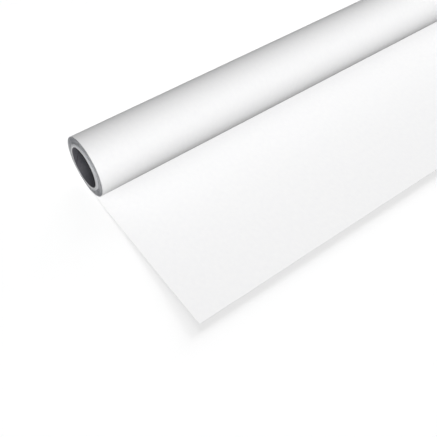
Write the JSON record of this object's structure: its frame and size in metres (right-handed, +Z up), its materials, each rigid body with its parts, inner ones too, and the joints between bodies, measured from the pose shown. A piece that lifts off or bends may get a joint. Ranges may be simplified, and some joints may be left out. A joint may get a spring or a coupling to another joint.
{
  "type": "backdrop paper roll",
  "caption": "Half-width seamless background paper wound on an open cardboard core, lying on the floor with its free end rolled out flat in front of it.",
  "frame": {"origin": "on the floor, at the middle of the whole outline: half way along the roll and half way from the roll's rear to the paper's cut edge", "axes": "+X along the roll's axis, -Y the way the paper is laid out, +Z up from the floor"},
  "size_m": [1.354, 0.2923, 0.0848],
  "materials": {
    "background_paper": "matte",
    "wound_paper": "matte",
    "core_board": "matte",
    "core_lining": "satin",
    "adhesive_tape": "satin"
  },
  "bodies": {
    "laid_paper": {"laid_sheet": "background_paper"},
    "outer_paper": {"outer_turn": "background_paper"},
    "roll": {"wound_turns": "wound_paper", "start_tape": "adhesive_tape", "core_tube": "core_board", "core_liner": "core_lining"}
  },
  "joints": [
    {"name": "roll_travel", "type": "slide", "parent": "laid_paper", "child": "outer_paper", "axis": [0, -1, 0], "range_m": [0, 0.225], "deforming": ["laid_sheet"]},
    {"name": "roll_turn", "type": "hinge", "parent": "outer_paper", "child": "roll", "pos_m": [0, 0.10375, 0.0425], "axis": [1, 0, 0], "range_deg": [0, 304]}
  ],
  "couplings": [
    {"joint": "roll_turn", "follows": "roll_travel", "rad_per_m": 23.529}
  ]
}
